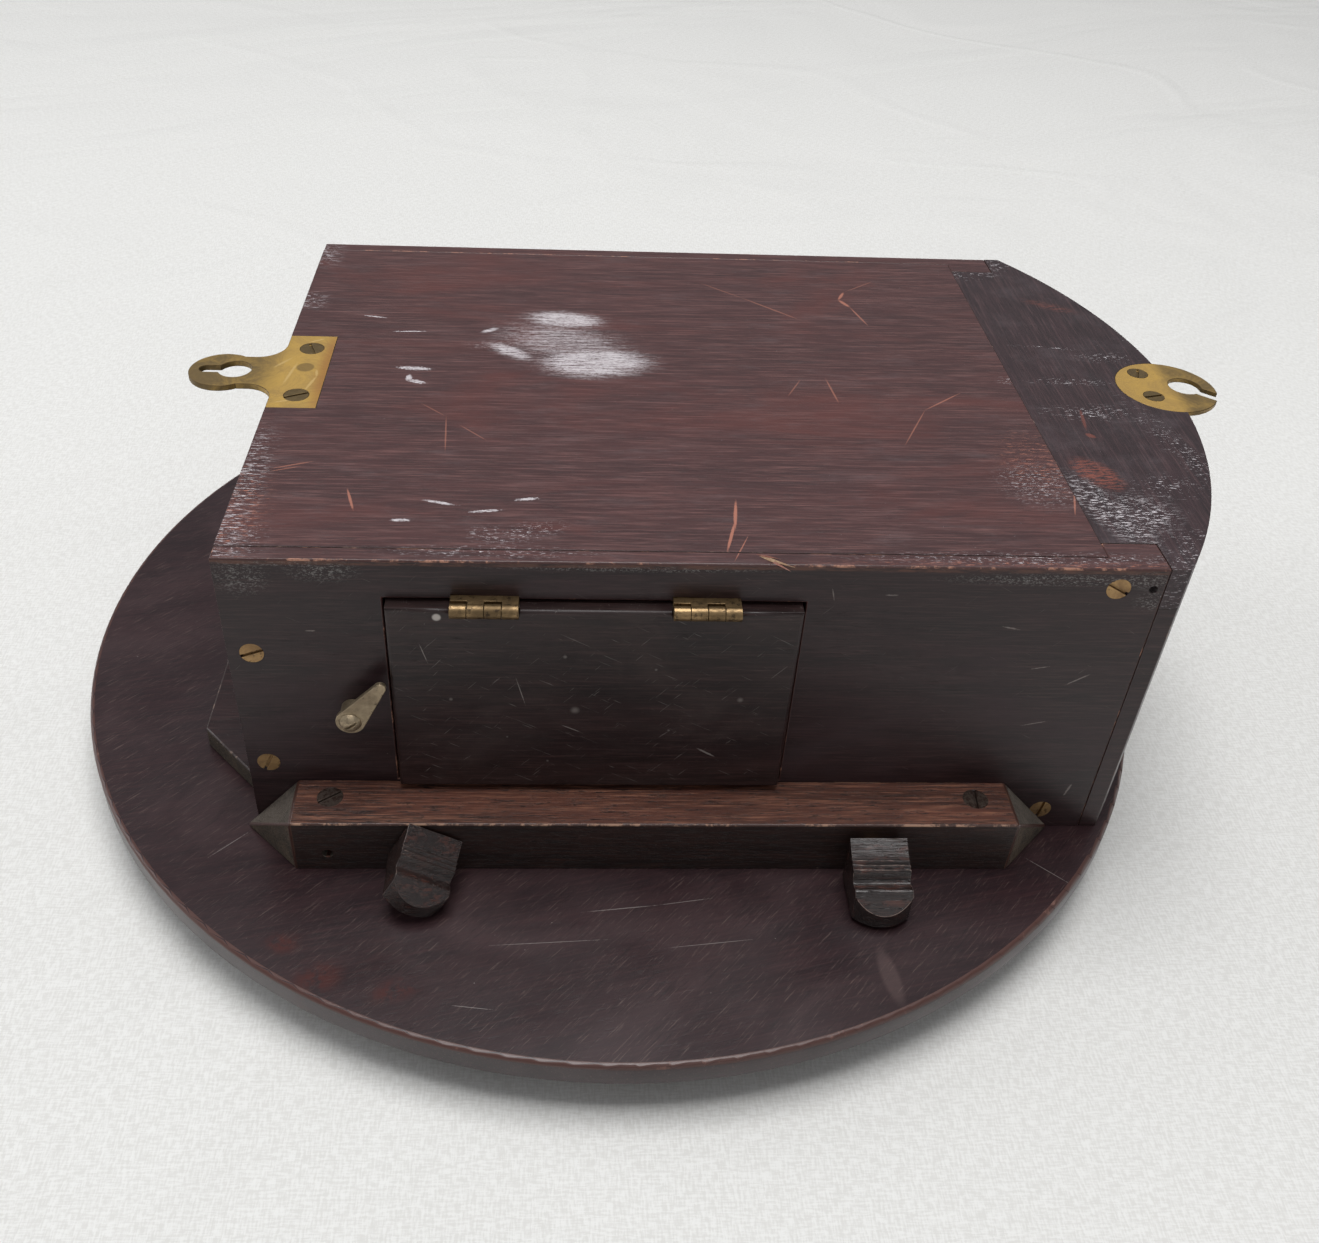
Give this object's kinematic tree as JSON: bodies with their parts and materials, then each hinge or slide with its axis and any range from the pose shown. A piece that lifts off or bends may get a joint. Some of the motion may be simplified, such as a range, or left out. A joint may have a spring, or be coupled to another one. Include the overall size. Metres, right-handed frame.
{
  "type": "dial wall clock",
  "caption": "Round mahogany dial wall clock lying on its face, with a box behind, a side door with a turn latch, pegs and a brass hanging plate.",
  "frame": {"origin": "centre of the overall footprint on the surface that the bezel rests on, z = 0", "axes": "+Z out of the back of the clock, -X towards 12 o'clock, -Y towards 3 o'clock and the side door"},
  "size_m": [0.3938, 0.381, 0.127],
  "materials": {
    "surround_wood": "satin",
    "side_wood": "satin",
    "back_wood": "satin",
    "dark_back_wood": "satin",
    "batten_wood": "satin",
    "peg_wood": "satin",
    "pine": "matte",
    "aged_brass": "satin",
    "latch_brass": "satin",
    "screw_brass": "satin",
    "iron_screw": "matte",
    "bezel_brass": "polished",
    "clear_glass": "gloss",
    "dial_paint": "satin",
    "blued_steel": "polished",
    "movement_brass": "satin",
    "movement_steel": "satin"
  },
  "bodies": {
    "clock_case": {"back_board": "back_wood", "barrel_arbor": "movement_steel", "batten_screws_far": "iron_screw", "batten_screws_near": "iron_screw", "bezel_hinge_bracket": "bezel_brass", "bezel_hinge_pin": "bezel_brass", "bottom_back_piece": "dark_back_wood", "case_leaf_1": "aged_brass", "case_leaf_2": "aged_brass", "case_screws_far": "screw_brass", "case_screws_near": "screw_brass", "curved_bottom_board": "side_wood", "dial_plate": "dial_paint", "dial_surround": "surround_wood", "door_hinge_pin_1": "aged_brass", "door_hinge_pin_2": "aged_brass", "end_batten": "batten_wood", "hanging_plate": "aged_brass", "hanging_screws": "aged_brass", "inner_cross_rail": "pine", "latch_screw": "aged_brass", "movement_back_plate": "movement_brass", "movement_front_plate": "movement_brass", "pendulum_cock": "movement_brass", "pillar_1": "movement_brass", "pillar_2": "movement_brass", "pillar_3": "movement_brass", "pillar_4": "movement_brass", "side_batten_far": "batten_wood", "side_batten_near": "batten_wood", "side_board_far": "side_wood", "side_board_near": "side_wood", "stay_plate": "aged_brass", "stay_screws": "aged_brass", "top_end_board": "side_wood"},
    "peg_near_1": {"peg_near_1": "peg_wood"},
    "peg_near_2": {"peg_near_2": "peg_wood"},
    "peg_far_1": {"peg_far_1": "peg_wood"},
    "peg_far_2": {"peg_far_2": "peg_wood"},
    "side_door": {"side_door": "side_wood", "door_leaf_1": "aged_brass", "door_leaf_2": "aged_brass"},
    "turn_latch": {"turn_latch": "latch_brass"},
    "bezel": {"bezel": "bezel_brass", "bezel_glass": "clear_glass"},
    "minute_hand": {"minute_hand_and_centre_wheel": "movement_brass"},
    "hour_hand": {"hour_hand": "blued_steel"},
    "fusee": {"fusee_and_great_wheel": "movement_brass"},
    "spring_barrel": {"spring_barrel": "movement_brass"},
    "pendulum": {"pendulum": "movement_brass"}
  },
  "joints": [
    {"name": "peg_near_1_slide", "type": "slide", "parent": "clock_case", "child": "peg_near_1", "axis": [0, -1, 0], "range_m": [-0.0008, 0.036]},
    {"name": "peg_near_2_slide", "type": "slide", "parent": "clock_case", "child": "peg_near_2", "axis": [0, -1, 0], "range_m": [-0.0033, 0.036]},
    {"name": "peg_far_1_slide", "type": "slide", "parent": "clock_case", "child": "peg_far_1", "axis": [0, 1, 0], "range_m": [-0.0013, 0.036]},
    {"name": "peg_far_2_slide", "type": "slide", "parent": "clock_case", "child": "peg_far_2", "axis": [0, 1, 0], "range_m": [-0.0018, 0.036]},
    {"name": "side_door_hinge", "type": "hinge", "parent": "clock_case", "child": "side_door", "pos_m": [-0.0172, -0.1092, 0.1134], "axis": [-1, 0, 0], "range_deg": [0, 100]},
    {"name": "turn_latch_pivot", "type": "hinge", "parent": "clock_case", "child": "turn_latch", "pos_m": [-0.08765, -0.11, 0.0728], "axis": [0, -1, 0], "range_deg": [-36, 126]},
    {"name": "bezel_hinge", "type": "hinge", "parent": "clock_case", "child": "bezel", "pos_m": [-0.00645, -0.1665, 0.0038], "axis": [-1, 0, 0], "range_deg": [0, 110]},
    {"name": "minute_hand_turn", "type": "hinge", "parent": "clock_case", "child": "minute_hand", "pos_m": [-0.00645, 0, 0.022], "axis": [0, 0, 1], "continuous": true},
    {"name": "hour_hand_turn", "type": "hinge", "parent": "clock_case", "child": "hour_hand", "pos_m": [-0.00645, 0, 0.022], "axis": [0, 0, 1], "continuous": true},
    {"name": "fusee_turn", "type": "hinge", "parent": "clock_case", "child": "fusee", "pos_m": [0.02755, -0.024, 0.022], "axis": [0, 0, 1], "continuous": true},
    {"name": "barrel_turn", "type": "hinge", "parent": "clock_case", "child": "spring_barrel", "pos_m": [0.02955, 0.03, 0.022], "axis": [0, 0, 1], "continuous": true},
    {"name": "pendulum_swing", "type": "hinge", "parent": "clock_case", "child": "pendulum", "pos_m": [-0.05045, 0, 0.088], "axis": [0, 0, 1], "range_deg": [-3, 3]}
  ],
  "couplings": [
    {"joint": "hour_hand_turn", "follows": "minute_hand_turn", "ratio": 0.083333},
    {"joint": "fusee_turn", "follows": "minute_hand_turn", "ratio": -0.083333},
    {"joint": "barrel_turn", "follows": "minute_hand_turn", "ratio": -0.055}
  ]
}
